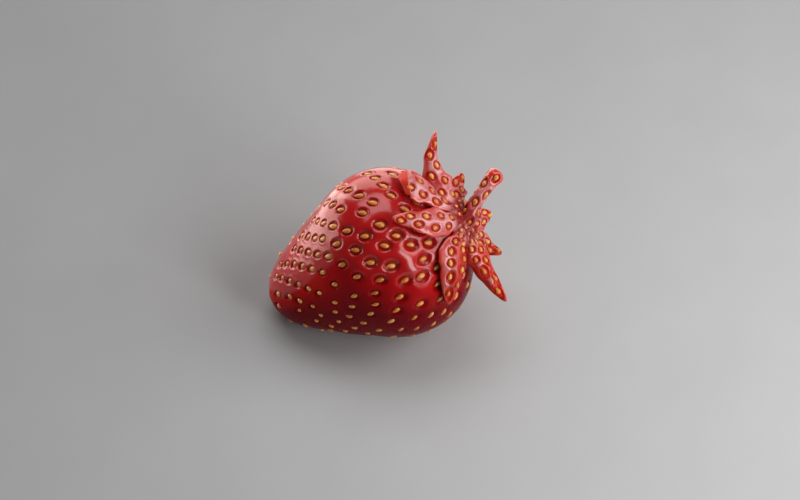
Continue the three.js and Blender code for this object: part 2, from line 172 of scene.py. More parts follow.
LEAVES = [
    Leaf([[0.7, 3, 39], [0.1, 5.9, 33], [-0.3, 8.9, 37], [0.1, 12.2, 43], [2.0, 15.9, 49]],
         width=4.9, widest=0.36, roll=-50, seeds=7, last_seed=0.88, rolled=-1, taper=1.1),
    Leaf([[0.7, 3, 3], [-0.8, 6.6, 6], [-1.7, 9.4, 9], [-2.9, 11.8, 11], [-4.6, 12.4, 12]],
         width=5.4, widest=0.75, roll=-16, seeds=6, last_seed=0.74, tip_width=4.0, square=0.75,
         lean=0.8, red_from=0.78, red_by=0.84, bent_end=1),
    Leaf([[0.7, 3, -34], [-0.7, 6.1, -31], [-3, 10.5, -26], [-6.3, 13.8, -20]],
         width=5.0, widest=0.42, roll=-8, seeds=8),
    Leaf([[0.7, 3, -84], [-0.4, 5.8, -78], [-1.8, 9.1, -91], [-5.9, 13.2, -108]],
         width=6.4, widest=0.6, roll=20, seeds=11, rolled=-1, shade_red=0.35,
         shaded_side=-1, side_shade=0.8),
    Leaf([[0.8, 3, -128], [0.6, 4.8, -126], [0.6, 8.3, -135], [1.6, 15.6, -136]],
         width=4.2, widest=0.5, roll=42, seeds=9, rolled=1, shade_red=0.35,
         shaded_side=-1, side_shade=0.3),
    Leaf([[0.7, 3, -172], [0.9, 4.6, -170], [1.2, 6.8, -168], [2.7, 9.4, -165]],
         width=3.0, widest=0.5, roll=40, seeds=6, rolled=1, shade_red=0.4),
    Leaf([[0.7, 3, 150], [1.3, 4.8, 147], [2, 6.3, 144], [2.9, 7.8, 142]],
         width=4.4, widest=0.4, roll=10, seeds=5, shade_red=0.2),
    Leaf([[0.7, 3, 76], [0.9, 4.5, 68], [1.1, 6.4, 70], [2.1, 8.7, 78]],
         width=3.4, widest=0.5, roll=-40, seeds=5, shade_red=0.3),
    Leaf([[0.7, 3, 113], [-0.1, 6, 113], [-1.7, 9.4, 112], [-3.8, 12.6, 110]],
         width=4.4, widest=0.5, roll=0, seeds=7, rolled=1, shade_red=0.2),
]
LEAF_ROOT_WIDTH = 1.9
LEAF_ROOT_THICKNESS, LEAF_TIP_THICKNESS = 1.2, 0.8
LEAF_FOLD, LEAF_FOLD_SOFTNESS = 14 * DEG, 0.35
# A leaf has its whole roll from this share of its length on
LEAF_ROLL_BY = 0.4
# The margin on a leaf's rolled side bends down from this share of the half width, this steeply. The
# bend grows between these shares of the length, and is painted dark red as shade so many millimetres
# past its start
LEAF_MARGIN_FROM, LEAF_MARGIN_SLOPE = 0.56, 1.0
LEAF_MARGIN_RANGE, LEAF_MARGIN_SHADE_RANGE = (0.1, 0.3), (0.0, 0.3)
LEAF_EDGE_WAVE, LEAF_EDGE_WAVES = 0.07, 2.5
# The edge bulges beside each seed, most at the margin and less towards the tip
LEAF_SEED_BULGE, LEAF_SEED_BULGE_LENGTH, LEAF_SEED_BULGE_RANGE = 0.22, 0.9, (0.3, 1.0)
LEAF_TIP_BULGE_LOSS, LEAF_TIP_BULGE_RANGE = 0.8, (0.75, 1.0)
# The tip is rounded from this share of the length on, and its thickness goes down to this share
LEAF_TIP_ROUND_FROM, LEAF_TIP_THINNING = 0.96, 0.25
LEAF_LEAN_RANGE = (0.4, 1.0)
# Behind its first station a leaf's root reaches on into the hub, sinking as it goes
LEAF_ROOT_STATIONS, LEAF_ROOT_REACH, LEAF_ROOT_SINK = 8, 0.9, 0.35
LEAF_STATIONS, LEAF_SECTION, LEAF_SQUARENESS = 84, 56, 0.6
LEAF_FIRST_SEED, LEAF_SEED_ROW = 0.16, 0.42
# Where on its section a leaf has its face and not its underside, where along it its foot ends and
# its red face sets in, and where across it a red side begins. Underside, foot and red face and side
# are painted shade
LEAF_FACE_RANGE, LEAF_UNDER_RANGE = (0.2, 0.9), (-0.1, 0.55)
LEAF_FOOT_RANGE, LEAF_SHADE_RED_RANGE, LEAF_SIDE_RANGE = (0.04, 0.18), (0.1, 0.5), (-0.5, 0.05)
# The power that keeps the edges' red, a painted glow of light through them, close to the edge, and
# how dull a shaded side is
LEAF_EDGE_GLOW_POWER, LEAF_SHADE_DULLNESS = 4, 0.8

# Pits and seeds of the leaves and the stem, whose lines are measured at this many points
LINE_SAMPLES = 60
SMALL_PIT_HALF_LENGTH, SMALL_PIT_HALF_WIDTH, SMALL_PIT_DEPTH = 1.0, 0.76, 0.38
SMALL_PIT_WALL_RANGE, SMALL_PIT_RIM_HEIGHT = (0.55, 1.05), 0.05
SMALL_SEED_HALF_LENGTH, SMALL_SEED_HALF_WIDTH, SMALL_SEED_HALF_HEIGHT = 0.55, 0.38, 0.32
SMALL_SEED_RISE = 0.05 - SMALL_SEED_HALF_HEIGHT

# Stem
STEM_LINE = [[0.35, 0, 55], [1.3, 0.1, 55], [3.5, 2, 56], [6, 3.7, 60], [8.4, 5.2, 65]]
STEM_RADII = [2.1, 1.6, 1.2, 1.2, 1.5]
STEM_STATIONS, STEM_SECTION = 90, 56
STEM_SEEDS, STEM_FIRST_SEED, STEM_LAST_SEED = 15, 0.187, 0.98
STEM_SEED_TURN = -2 * GOLDEN_ANGLE
# The stem's rounded end: its length as a share of its radius, and how small its last ring is
STEM_END_STATIONS, STEM_END_LENGTH, STEM_END_SIZE = 14, 0.75, 0.06
# How dark its foot is painted with shade and how dull it is, fading over these shares of its length,
# and how red it is
STEM_FOOT_SHADE, STEM_FOOT_DULLNESS, STEM_FOOT_RANGE = 0.85, 0.6, (0.2, 0.7)
STEM_REDNESS, STEM_END_RED_RANGE = 0.35, (0.8, 1.0)

# Hub, where the leaves and the stem grow together: [out, along] points of its profile
HUB_PROFILE = [[0.6, 1.3], [1.7, 1.15], [2.3, 0.8], [2.9, 0.95],
               [3.5, 0.9], [4.1, 0.45], [4.5, -0.3], [4.3, -1.0]]
HUB_RINGS, HUB_SIDES = 48, 160
# Its creases, how unevenly they lie, and where along the profile they set in
HUB_CREASES, HUB_CREASE_DEPTH, HUB_CREASE_LEVEL = 17, 0.4, 0.7
HUB_CREASE_SHARPNESS, HUB_CREASE_UNEVENNESS, HUB_CREASE_RANGE = 0.6, 0.9, (0.05, 0.4)
# Its lumps, round it and along the profile, and how they slant
HUB_LUMPS, HUB_LUMP_HEIGHT, HUB_LUMP_WAVE, HUB_LUMP_SLANT = 5, 0.22, 7, 9
# The hub is painted with shade: this share of it away from its creases, and all of it in them
HUB_SHADE = 0.62
# Its seeds, between these distances from the axis
HUB_SEEDS, HUB_SEED_OUT = 18, (1.9, 3.9)
HUB_SEED_START, HUB_SEED_SINK, HUB_SEED_SIZE = 0.4, 0.12, 0.8

# Colours, as linear red, green and blue. A list of them is a ramp, with each one's place on it
FLESH_SKIN = [(0.3, (0.42, 0.004, 0.007)), (0.55, (0.54, 0.008, 0.009)), (0.75, (0.62, 0.022, 0.012))]
# Painted shade in the flesh's pits
FLESH_PIT_SHADE = [(0.3, (0.22, 0.003, 0.003)), (0.95, (0.42, 0.008, 0.004))]
# Painted shade where the flesh's skin faces down
FLESH_SHADE_BELOW = (0.14, 0.002, 0.006)
# The calyx's pale pink skin, partly its own tone and partly a painted sheen
CALYX_SKIN_AND_SHEEN = [(0.3, (0.54, 0.035, 0.035)), (0.45, (0.66, 0.15, 0.15)), (0.62, (0.75, 0.31, 0.31))]
# Painted shade in the calyx's pits
CALYX_PIT_SHADE = [(0.35, (0.36, 0.006, 0.004)), (0.95, (0.66, 0.030, 0.008))]
# Red of the stem, of thin edges and tips as a painted glow of light through them, and of shaded faces
# and sides as painted shade
CALYX_RED_GLOW_AND_SHADE = (0.72, 0.032, 0.008)
# Painted shade on the leaves' undersides, rolled margins and shaded sides
CALYX_SHADE = (0.48, 0.015, 0.006)
# Painted shade at the feet of the leaves and the stem, and over the hub
CALYX_FOOT_SHADE = (0.26, 0.004, 0.004)
SEED_GOLD = [(0.0, (0.74, 0.23, 0.04)), (0.5, (0.88, 0.36, 0.07)), (1.0, (0.95, 0.50, 0.13))]
SEED_MOTTLE = [(0.35, (0.8, 0.62, 0.45)), (0.65, (1, 1, 1))]
FLOOR_GREY = [(0.3, (0.58, 0.58, 0.58)), (0.7, (0.60, 0.60, 0.60))]
# How rough the noise is, and the span that nearly all of it lies in
NOISE_ROUGHNESS, NOISE_SPAN = 0.55, (0.3, 0.7)

# Soft boxes: name, place, size and power, and for some the point they face and a turn about their
# own axis. The low ones light the berry alone, so that they leave no bright patch on the floor
LOW_BOXES = [
    ("back_left", (-190, 110, 46), (280, 98), 0.25),
    ("back_low", (-55, 228, 86), (230, 172), 0.29),
    ("left_card", (-96, 67, 3), (120, 110), 0.12, (-96, 67, 50), -25 * DEG),
    ("back_card", (30, 125, 3), (80, 140), 0.06, (30, 125, 50)),
]
ROOM_BOXES = [
    ("overhead", (-20, 130, 330), (300, 200), 0.43),
    ("right_side", (190, -20, 150), (150, 200), 0.27),
    ("streak", (155, -160, 100), (70, 200), 0.24, (5, -5, 14)),
]
WARM, WHITE = (1, 0.84, 0.76), (1, 1, 1)
LIGHT_TARGET = (0, 0, 14)
WORLD_STRENGTH = 0.05
FLOOR_HALF_WIDTH, FLOOR_DROP = 2000.0, 0.02

# The camera: how far round and how high it is, how far it is from the berry's centre, and how far
# to the right of that centre and above it its view is centred
VIEW_AZIMUTH, VIEW_ELEVATION = -3.6 * DEG, 52 * DEG
VIEW_DISTANCE = 382.1
VIEW_RIGHT, VIEW_UP = 4.43, 1.37
FOCAL_LENGTH, SENSOR_WIDTH = 99.04, 36.0


# Shapes

def smoothstep(low, high, value):
    share = np.clip((value - low) / (high - low), 0, 1)
    return share * share * (3 - 2 * share)


def unit(vectors):
    return vectors / np.linalg.norm(vectors, axis=-1, keepdims=True)


def turned(first, second, turn):
    """Two vectors at right angles, both turned by an angle from the first to the second."""
    cos, sin = np.cos(turn), np.sin(turn)
    return first * cos + second * sin, second * cos - first * sin


def full_turn(count):
    """Angles that are spread evenly over a full turn."""
    return 2 * math.pi * np.arange(count) / count


def direction(polar, around):
    polar, around = np.broadcast_arrays(polar, around)
    belt = np.sin(polar)
    return np.stack([-np.cos(polar), belt * np.sin(around), belt * np.cos(around)], axis=-1)


def angles(units):
    """polar and around of directions."""
    polar = np.arccos(np.clip(-units[..., 0], -1, 1))
    return polar, np.arctan2(units[..., 1], units[..., 2])


def cosine_waves(samples):
    """Sizes of the cosine waves that add up to evenly spaced samples."""
    last = len(samples) - 1
    index = np.arange(last + 1)
    weight = np.ones(last + 1)
    weight[[0, last]] = 0.5
    return [2 / last * weight[wave] * np.sum(weight * samples * np.cos(math.pi * index * wave / last))
            for wave in index]


PROFILE_WAVES = cosine_waves(np.array(PROFILE_RADII))


def profile_radius(polar):
    return sum(size * np.cos(wave * polar) for wave, size in enumerate(PROFILE_WAVES))


def body_radius(units):
    """Distance of the smooth body's surface from the berry's centre."""
    polar, around = angles(units)
    belt, tipward = np.sin(polar), np.cos(polar)
    oval = (OVAL + OVAL_TOWARDS_TIP * tipward) * belt ** 2 * np.cos(2 * around)
    back = (BACK + BACK_TOWARDS_TIP * tipward) * belt * np.cos(around)
    far_side = (FAR_SIDE + FAR_SIDE_TOWARDS_TIP * tipward) * belt * np.sin(around)
    lobes = LOBES * belt ** 3 * np.cos(3 * around)
    return profile_radius(polar) + oval + back + far_side + lobes


def to_row(points):
    """From the berry frame to the frame that the berry lies in."""
    cos, sin = math.cos(AXIS_TILT), math.sin(AXIS_TILT)
    x, y, z = points[..., 0], points[..., 1], points[..., 2]
    return np.stack([x * cos - z * sin, y, x * sin + z * cos + CENTRE_HEIGHT], axis=-1)


def turn_to_row(vectors):
    return to_row(vectors) - to_row(np.zeros(3))


# Seeds of the flesh

def spiral_directions():
    """Directions on a golden-angle spiral, spread evenly over the body's surface."""
    step = math.pi / AREA_BELTS
    polar = (np.arange(AREA_BELTS) + 0.5) * step
    radius = profile_radius(polar)
    slope = (profile_radius(polar + step / 2) - profile_radius(polar - step / 2)) / step
    area = np.concatenate([[0], np.cumsum(radius * np.sin(polar) * np.hypot(radius, slope))])
    index = np.arange(SEED_COUNT)
    wanted = area[-1] * (index + 0.5) / SEED_COUNT
    polar = np.interp(wanted, area, np.arange(AREA_BELTS + 1) * step)
    around = SEED_SPIRAL_START - index * GOLDEN_ANGLE
    kept = polar < SEED_LAST_POLAR
    return direction(polar[kept], around[kept])


def row_directions(count, first, middle, last):
    """Directions of a row's seeds, on the parabola through its three places."""
    share = np.arange(count) / (count - 1)
    weights = np.stack([(1 - share) * (1 - 2 * share), 4 * share * (1 - share),
                        share * (2 * share - 1)])
    polar, around = (weights.T @ np.array([first, middle, last], float)).T * DEG
    return direction(polar, around)


def nearest_distances(units, others):
    """How far the body's point in each direction is from the nearest of the others' points."""
    points, targets = units * body_radius(units)[:, None], others * body_radius(others)[:, None]
    gaps = np.linalg.norm(points[:, None] - targets, axis=2)
    return np.where(gaps < 1e-6, np.inf, gaps).min(axis=1)


def seed_directions():
    rows = np.concatenate([row_directions(*row) for row in SEED_ROWS])
    rest = spiral_directions()
    return np.concatenate([rows, rest[nearest_distances(rest, rows) > SEED_ROW_ROOM]])


def body_normals(units):
    """Normals of the smooth body, in the row frame."""
    step = 1e-3
    radius = body_radius(units)
    normals = radius[:, None] * units
    axis = np.where(np.abs(units[:, :1]) < 0.9, [[1.0, 0, 0]], [[0, 1.0, 0]])
    first = unit(np.cross(units, axis))
    for tangent in (first, np.cross(units, first)):
        slope = (body_radius(unit(units + step * tangent)) - radius) / step
        normals = normals - slope[:, None] * tangent
    return turn_to_row(unit(normals))


def facing_up(units):
    """From 0 where the skin faces down to 1 where it faces up, or out at the tip's side."""
    x, _, z = body_normals(units).T
    return smoothstep(*UP_RANGE, z + UP_TIPWARD * smoothstep(*UP_TIPWARD_RANGE, -x))


def glazed(units):
    """From 0 where the skin is matt, low on the berry, to 1 where it has a gloss."""
    x, y, z = body_normals(units).T
    tipward = GLAZE_TIPWARD * smoothstep(*GLAZE_TIPWARD_RANGE, -x)
    rearward = GLAZE_REARWARD * smoothstep(*GLAZE_REARWARD_RANGE, y)
    return smoothstep(*GLAZE_RANGE, z + tipward + rearward)


SEEDS = seed_directions()
SEED_SIZES = np.minimum(1, nearest_distances(SEEDS, SEEDS) / PIT_ROOM)
SEED_RADII = body_radius(SEEDS)


def seed_axes():
    """Along and across each seed: where the skin faces up, seeds lie turned off their meridian."""
    across = unit(np.cross([1.0, 0, 0], SEEDS))
    return turned(np.cross(across, SEEDS), across, (SEED_TURN * facing_up(SEEDS))[:, None])


SEED_ALONG, SEED_ACROSS = seed_axes()


def pit_distances(units):
    """How far each direction is from each seed, as a share of the size of its pit."""
    along = units @ SEED_ALONG.T * SEED_RADII / (PIT_HALF_LENGTH * SEED_SIZES)
    across = units @ SEED_ACROSS.T * SEED_RADII / (PIT_HALF_WIDTH * SEED_SIZES)
    return np.where(units @ SEEDS.T < SEED_REACH_COSINE, FAR_AWAY, np.hypot(along, across))


def pit_depth(units):
    return PIT_DEPTH * (UNDER_PIT_SHARE + (1 - UNDER_PIT_SHARE) * facing_up(units))


def pit_rim(distance):
    """1 on the rim about a pit, and near 0 away from it."""
    return np.exp(-((distance - PIT_RIM_AT) / PIT_RIM_WIDTH) ** 2)


def skin_relief(units):
    """Height of the skin over the smooth body, and the painted shade of a pit, from 0 to 1, weaker
    where the skin faces down.
    """
    distance = pit_distances(units)
    upward = facing_up(units)
    calyx_end = smoothstep(*CALYX_END_RANGE, angles(units)[0]) * upward
    front = calyx_end * smoothstep(*FRONT_RANGE, -body_normals(units)[:, 1])
    nearest = distance.min(axis=1) / (1 + CALYX_END_WIDENING * calyx_end + FRONT_WIDENING * front)
    inside = 1 - smoothstep(*PIT_WALL_RANGE, nearest)
    rim = PIT_RIM_HEIGHT * (1 + upward) * pit_rim(nearest) * (1 - front)
    swell = SWELL + CALYX_END_SWELL * calyx_end + FRONT_SWELL * front
    dimple = np.exp(-(distance / SWELL_REACH) ** 2).sum(axis=1)
    height = rim - pit_depth(units) * inside - swell * (dimple - SWELL_LEVEL)
    return height, inside * (UNDER_PIT_SHADE + (1 - UNDER_PIT_SHADE) * upward)


# Meshes

def new_object(name, points, faces, material, attributes):
    """A smooth mesh of points that are in millimetres in the row frame."""
    mesh = bpy.data.meshes.new(name)
    mesh.from_pydata((points * MM).tolist(), [], [list(map(int, face)) for face in faces])
    mesh.shade_smooth()
    for attribute, values in attributes.items():
        layer = mesh.attributes.new(attribute, "FLOAT", "POINT")
        layer.data.foreach_set("value", np.asarray(values, np.float32))
    mesh.materials.append(material)
    mesh.validate()
    piece = bpy.data.objects.new(name, mesh)
    bpy.context.scene.collection.objects.link(piece)
    return piece


def band_faces(first, last, sides):
    """Faces between rings of vertices, from the ring that starts at first to the one at last."""
    faces = []
    for start in range(first, last, sides):
        for side in range(sides):
            a, b = start + side, start + (side + 1) % sides
            faces.append((a, b, b + sides, a + sides))
    return faces


def fan_faces(ring, sides, point):
    """Faces between the ring of vertices that starts at ring and a point."""
    return [(ring + side, ring + (side + 1) % sides, point) for side in range(sides)]


def greatest(*values):
    """The largest of the values at each place. They can be arrays or single numbers."""
    return np.max(np.broadcast_arrays(*values), axis=0)


def ring_directions(seed, size, count):
    """Directions of an oval ring about a seed."""
    turns = full_turn(count)
    reach = size * SEED_SIZES[seed] / SEED_RADII[seed]
    along = (reach * PIT_HALF_LENGTH * np.cos(turns))[:, None] * SEED_ALONG[seed]
    across = (reach * PIT_HALF_WIDTH * np.sin(turns))[:, None] * SEED_ACROSS[seed]
    return unit(SEEDS[seed] + along + across)


def skin_directions():
    """Vertices of the skin: rings about each seed, and an even spread over what is between."""
    kept = []
    for size, count in PIT_RINGS:
        for seed in range(len(SEEDS)):
            ring = ring_directions(seed, size, count)
            distance = pit_distances(ring)
            distance[:, seed] = FAR_AWAY
            kept.append(ring[distance.min(axis=1) > size + RING_CLEARANCE])
    count = int(4 * math.pi * np.mean(np.square(PROFILE_RADII)) / FILL_SPACING ** 2)
    index = np.arange(count)
    polar = np.arccos(1 - 2 * (index + 0.5) / count)
    fill = direction(polar, index * GOLDEN_ANGLE)
    fill = fill[polar < POLE_RING_POLAR - POLE_RING_CLEARANCE]
    clear = PIT_RINGS[-1][0] + RING_CLEARANCE
    kept.append(fill[pit_distances(fill).min(axis=1) > clear])
    kept.append(direction(POLE_RING_POLAR, full_turn(POLE_RING_SIDES)))
    return np.concatenate(kept)


def sphere_faces(units):
    """Delaunay triangles of directions that leave out the calyx pole, whose hole is a fan."""
    polar, around = angles(units)
    spread = np.tan(polar / 2)
    flat = [Vector((s * math.cos(a), s * math.sin(a))) for s, a in zip(spread, around)]
    points, _, faces, *_ = delaunay_2d_cdt(flat, [], [], 0, 1e-9)
    if len(points) != len(flat):
        raise ValueError("two directions of the skin are the same")
    pole = len(units)
    return list(faces) + fan_faces(pole - POLE_RING_SIDES, POLE_RING_SIDES, pole)


def outward(points, faces):
    """The same triangles with their order turned so that the body's volume is positive."""
    faces = np.array(faces)
    corners = points[faces]
    volume = np.einsum("ij,ij->i", corners[:, 0], np.cross(corners[:, 1], corners[:, 2]))
    faces[volume < 0] = faces[volume < 0][:, ::-1]
    return faces


def make_flesh(material):
    units = skin_directions()
    faces = sphere_faces(units)
    units = np.concatenate([units, [[1.0, 0, 0]]])
    height, pit = skin_relief(units)
    points = units * (body_radius(units) + height)[:, None]
    faces = outward(points, faces)
    row = to_row(points)
    row[:, 2] = np.maximum(row[:, 2], 0)
    # Its attributes carry painted shade in the pits and where the skin faces down
    piece = new_object("flesh_fine", row, faces, material,
                       {"pit": pit, "upward": facing_up(units), "glaze": glazed(units)})
    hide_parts("fruit")
    return piece


# Achenes

def teardrop(rounds, sides):
    """A closed teardrop along x, blunt at +1 and pointed at -1, as points and faces."""
    points = [[-1.0, 0, 0]]
    for step in range(1, rounds):
        from_point = math.pi * step / rounds
        x = -math.cos(from_point)
        size = math.sin(from_point) ** SEED_SHARPNESS * (1 + SEED_BLUNTNESS * x)
        points += [[x, size * math.cos(turn), size * math.sin(turn)] for turn in full_turn(sides)]
    points.append([1.0, 0, 0])
    last = len(points) - 1
    faces = [face[::-1] for face in fan_faces(1, sides, 0)]
    faces += band_faces(1, last - sides, sides) + fan_faces(last - sides, sides, last)
    return np.array(points), faces


def make_achenes(name, places, material, nodes):
    """places: (centre, along, across, normal, half length, half width, half height) of each."""
    shape, shape_faces = teardrop(SEED_ROUNDS, SEED_SIDES)
    points, faces, tints = [], [], []
    for centre, along, across, normal, length, width, height in places:
        start = len(points) * len(shape)
        size = 1 + DRAW.normal(0, SEED_SIZE_SPREAD)
        ahead, beside = turned(along, across, DRAW.normal(0, SEED_TURN_SPREAD))
        points.append(centre + shape[:, :1] * length * size * ahead
                      + shape[:, 1:2] * width * size * beside + shape[:, 2:] * height * normal)
        tints.append(np.full(len(shape), DRAW.uniform()))
        faces += [tuple(start + corner for corner in face) for face in shape_faces]
    row = np.concatenate(points)
    row[:, 2] = np.maximum(row[:, 2], SEED_FLOOR)
    piece = new_object(name, row, faces, material, {"tint": np.concatenate(tints)})
    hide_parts(*nodes)
    return piece


def flesh_seed_places():
    places = []
    upward = facing_up(SEEDS)
    x, _, z = body_normals(SEEDS).T
    floors = skin_relief(SEEDS)[0] + pit_depth(SEEDS)
    rises = UNDER_SEED_RISE * (1 - upward) + TOP_SEED_RISE * smoothstep(*TOP_SEED_RISE_RANGE, z)
    growths = (TIPWARD_SEED_GROWTH * smoothstep(*TIPWARD_SEED_RANGE, -x)
               + TOP_SEED_GROWTH * smoothstep(*TOP_SEED_RANGE, z))
    sizes = UNDER_SEED_SIZE + (1 - UNDER_SEED_SIZE) * upward + growths
    for seed, direction_out in enumerate(SEEDS):
        size = math.sqrt(SEED_SIZES[seed]) * sizes[seed]
        height = floors[seed] + rises[seed] + SEED_TOP - SEED_HALF_HEIGHT * size
        centre = to_row(direction_out * (SEED_RADII[seed] + height))
        if centre[2] < LOWEST_SEED:
            continue
        places.append((centre, turn_to_row(-SEED_ALONG[seed]), turn_to_row(SEED_ACROSS[seed]),
                       turn_to_row(direction_out), SEED_HALF_LENGTH * size, SEED_HALF_WIDTH * size,
                       SEED_HALF_HEIGHT * size))
    return places


# Calyx

CALYX_POLE = profile_radius(math.pi)


def calyx_point(along, out, around):
    """A point so far past the end of the flesh and so far out from the axis."""
    return np.stack([CALYX_POLE + along, out * np.sin(around), out * np.cos(around)], axis=-1)


def calyx_points(line):
    along, out, around = np.array(line, float).T
    return calyx_point(along, out, around * DEG)


def curve_point(points, share):
    """A point on the centripetal Catmull-Rom curve through the points."""
    last = len(points) - 1
    place = min(max(share, 0.0), 1.0) * last
    i = min(int(place), last - 1)
    w = place - i
    p1, p2 = points[i], points[i + 1]
    p0 = points[i - 1] if i > 0 else 2 * points[0] - points[1]
    p3 = points[i + 2] if i + 2 <= last else 2 * points[last] - points[last - 1]
    d0, d1, d2 = (math.sqrt(np.linalg.norm(b - a)) for a, b in ((p0, p1), (p1, p2), (p2, p3)))
    start = ((p1 - p0) / d0 - (p2 - p0) / (d0 + d1) + (p2 - p1) / d1) * d1
    end = ((p2 - p1) / d1 - (p3 - p1) / (d1 + d2) + (p3 - p2) / d2) * d1
    return (p1 + start * w + (3 * (p2 - p1) - 2 * start - end) * w ** 2
            + (2 * (p1 - p2) + start + end) * w ** 3)


def curve_forward(points, share):
    step = 1e-4
    return unit(curve_point(points, share + step) - curve_point(points, share - step))


def line_length(points):
    samples = np.array([curve_point(points, share) for share in np.linspace(0, 1, LINE_SAMPLES)])
    return np.linalg.norm(np.diff(samples, axis=0), axis=1).sum()


def between(values, share):
    """The value this share of the way from the first to the last of evenly spaced values."""
    return np.interp(share * (len(values) - 1), np.arange(len(values)), values)


def squared(vector, forward):
    """The part of a vector that is at right angles to forward, made one long."""
    return unit(vector - forward * (vector @ forward))


def small_pits(gaps):
    """Height of the skin, and 1 inside a pit, from the (ahead, beside) gaps to each pit's middle."""
    height, inside = 0.0, 0.0
    for ahead, beside in gaps:
        distance = np.hypot(ahead / SMALL_PIT_HALF_LENGTH, beside / SMALL_PIT_HALF_WIDTH)
        within = 1 - smoothstep(*SMALL_PIT_WALL_RANGE, distance)
        height = height + (SMALL_PIT_RIM_HEIGHT * pit_rim(distance) - SMALL_PIT_DEPTH * within)
        inside = np.maximum(inside, within)
    return height, inside


def small_seed(centre, along, across, normal, size=1.0):
    """The place of a seed in a small pit, which is this share as long and wide as most."""
    return (to_row(centre), turn_to_row(along), turn_to_row(across), turn_to_row(normal),
            size * SMALL_SEED_HALF_LENGTH, size * SMALL_SEED_HALF_WIDTH, SMALL_SEED_HALF_HEIGHT)


def tube(name, stations, material, inward=False):
    """A closed tube through rings, each given as its points and a dictionary of attributes."""
    sides = len(stations[0][0])
    last = (len(stations) - 1) * sides
    ends = [tuple(reversed(range(sides))), tuple(range(last, last + sides))]
    faces = band_faces(0, last, sides) + ends
    if inward:
        faces = [face[::-1] for face in faces]
    points, looks = zip(*stations)
    attributes = {key: np.concatenate([look[key] for look in looks]) for key in looks[0]}
    return new_object(name, to_row(np.concatenate(points)), faces, material, attributes)


# Leaves

def leaf_frame(leaf, line, share):
    """The leaf's middle there, then forward, sideways and out of its upper face."""
    centre = curve_point(line, share)
    forward = curve_forward(line, share)
    sideways = squared(np.array([0, centre[2], -centre[1]]), forward)
    turn = leaf.roll * DEG * min(1.0, share / LEAF_ROLL_BY)
    face, sideways = turned(np.cross(sideways, forward), sideways, turn)
    return centre, forward, sideways, face


def leaf_half_width(leaf, share, side):
    half = leaf.width / 2
    wave = 1 + LEAF_EDGE_WAVE * np.sin(2 * math.pi * LEAF_EDGE_WAVES * share + side)
    if share < leaf.widest:
        grown = (1 - math.cos(math.pi * share / leaf.widest)) / 2
        return (LEAF_ROOT_WIDTH / 2 + (half - LEAF_ROOT_WIDTH / 2) * grown) * wave
    left = ((1 - share) / (1 - leaf.widest)) ** leaf.taper
    tip = leaf.tip_width / 2
    return (tip + (half - tip) * left) * wave


def leaf_seeds(leaf):
    """A leaf's seeds, as shares of its length and, to either side, of its half width."""
    shares = np.linspace(LEAF_FIRST_SEED, leaf.last_seed, leaf.seeds)
    sides = np.where(np.arange(leaf.seeds) % 2 == 0, LEAF_SEED_ROW, -LEAF_SEED_ROW)
    return list(zip(shares, sides))


def leaf_offset(leaf, length, share, across):
    """Millimetres to the side of the middle line, with a bulge of the edge at each seed."""
    bulge = 0.0
    for seed_share, seed_across in leaf_seeds(leaf):
        near = np.exp(-((share - seed_share) * length / LEAF_SEED_BULGE_LENGTH) ** 2)
        edge = smoothstep(*LEAF_SEED_BULGE_RANGE, across * np.sign(seed_across))
        bulge = bulge + LEAF_SEED_BULGE * near * edge
    bulge = bulge * (1 - LEAF_TIP_BULGE_LOSS * smoothstep(*LEAF_TIP_BULGE_RANGE, share))
    return across * (leaf_half_width(leaf, share, across) + bulge)


def leaf_drop(leaf, share, offset):
    """How far the face lies below the leaf's line, and 1 where it is the rolled margin, which is
    painted with shade.
    """
    fold = (np.hypot(offset, LEAF_FOLD_SOFTNESS) - LEAF_FOLD_SOFTNESS) * math.tan(LEAF_FOLD)
    half = leaf_half_width(leaf, share, 0.0)
    past = np.maximum(0, leaf.rolled * offset - LEAF_MARGIN_FROM * half)
    grown = smoothstep(*LEAF_MARGIN_RANGE, share)
    return fold + LEAF_MARGIN_SLOPE * past * grown, smoothstep(*LEAF_MARGIN_SHADE_RANGE, past) * grown


def leaf_thickness(share):
    return LEAF_ROOT_THICKNESS + (LEAF_TIP_THICKNESS - LEAF_ROOT_THICKNESS) * share


